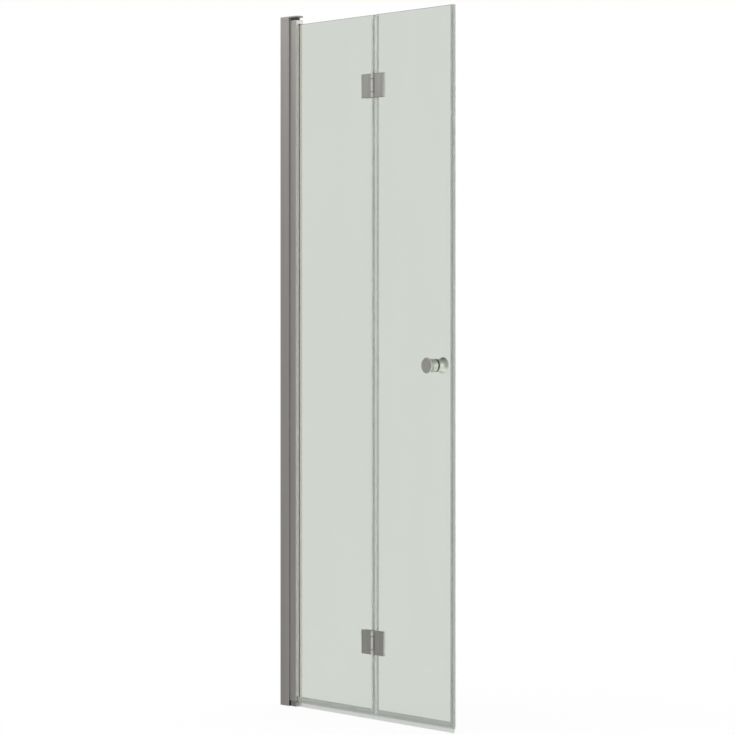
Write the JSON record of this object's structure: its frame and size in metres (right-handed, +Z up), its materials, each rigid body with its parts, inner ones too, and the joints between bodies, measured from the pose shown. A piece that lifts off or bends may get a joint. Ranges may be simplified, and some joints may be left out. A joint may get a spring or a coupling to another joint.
{
  "type": "bifold shower door",
  "caption": "Frameless bifold shower door: glass wall leaf pivoting on an adjustable wall profile, glass free leaf on glass-to-glass fold hinges, round knobs and clear seals.",
  "frame": {"origin": "on the wall, at the lower end of the wall profile's back face, in the glass mid-plane, at tray level", "axes": "+X along the closed door away from the wall, -Y to the outside, +Y into the shower, +Z up"},
  "size_m": [0.7, 0.062, 1.899],
  "materials": {
    "satin_aluminium": "satin anodised",
    "satin_nickel": "satin plated",
    "satin_steel": "satin",
    "moulded_grey": "fine matt",
    "dark_zinc": "satin, dark",
    "dark_plastic": "matt",
    "dark_rubber": "matt",
    "soft_grey": "matt",
    "bearing_bronze": "turned",
    "clear_glass": "clear safety glass",
    "clear_seal": "clear soft vinyl"
  },
  "bodies": {
    "wall_side": {"wall_profile": "satin_aluminium", "profile_foot": "dark_plastic", "lock_screws": "satin_steel", "lock_nuts": "satin_steel", "lock_screw_covers": "moulded_grey"},
    "adjuster": {"adjusting_profile": "satin_aluminium", "top_cap": "moulded_grey", "top_cap_screws": "satin_steel", "top_pivot_pin": "satin_steel", "top_pivot_collar": "dark_plastic", "bottom_pivot_block": "dark_zinc", "bottom_block_screws": "satin_steel", "bottom_pivot_pin": "satin_steel", "thrust_washer": "bearing_bronze", "pivot_gap_seal": "dark_rubber"},
    "wall_leaf": {"pivot_stile": "satin_aluminium", "stile_top_cap": "satin_nickel", "stile_bottom_cap": "satin_nickel", "top_pivot_bush": "dark_plastic", "bottom_pivot_bush": "dark_plastic", "front_glass_gasket": "soft_grey", "rear_glass_gasket": "soft_grey", "glass_packers": "dark_plastic", "wall_glass": "clear_glass", "wall_fold_seal": "clear_seal", "wall_bottom_seal": "clear_seal", "upper_wall_hinge_plate": "satin_nickel", "lower_wall_hinge_plate": "satin_nickel", "upper_wall_back_plate": "satin_nickel", "lower_wall_back_plate": "satin_nickel", "wall_hinge_pads": "clear_seal", "wall_hinge_sleeves": "dark_plastic", "wall_hinge_screws": "satin_steel", "upper_knuckle_bushes": "dark_plastic", "lower_knuckle_bushes": "dark_plastic"},
    "free_leaf": {"free_glass": "clear_glass", "free_fold_seal": "clear_seal", "closing_seal": "clear_seal", "free_bottom_seal": "clear_seal", "upper_free_hinge_plate": "satin_nickel", "lower_free_hinge_plate": "satin_nickel", "upper_free_back_plate": "satin_nickel", "lower_free_back_plate": "satin_nickel", "free_hinge_pads": "clear_seal", "free_hinge_sleeves": "dark_plastic", "free_hinge_screws": "satin_steel", "upper_hinge_pin": "satin_steel", "lower_hinge_pin": "satin_steel", "outer_knob": "satin_nickel", "inner_knob": "satin_nickel", "knob_stud": "satin_steel", "knob_sleeve": "dark_plastic", "knob_washers": "dark_rubber"}
  },
  "joints": [
    {"name": "width_adjust", "type": "slide", "parent": "wall_side", "child": "adjuster", "axis": [1, 0, 0], "range_m": [0, 0.015]},
    {"name": "wall_pivot", "type": "hinge", "parent": "adjuster", "child": "wall_leaf", "pos_m": [0.05, 0, 0], "axis": [0, 0, 1], "range_deg": [0, 90]},
    {"name": "fold", "type": "hinge", "parent": "wall_leaf", "child": "free_leaf", "pos_m": [0.383, -0.0075, 0], "axis": [0, 0, -1], "range_deg": [0, 174]}
  ]
}
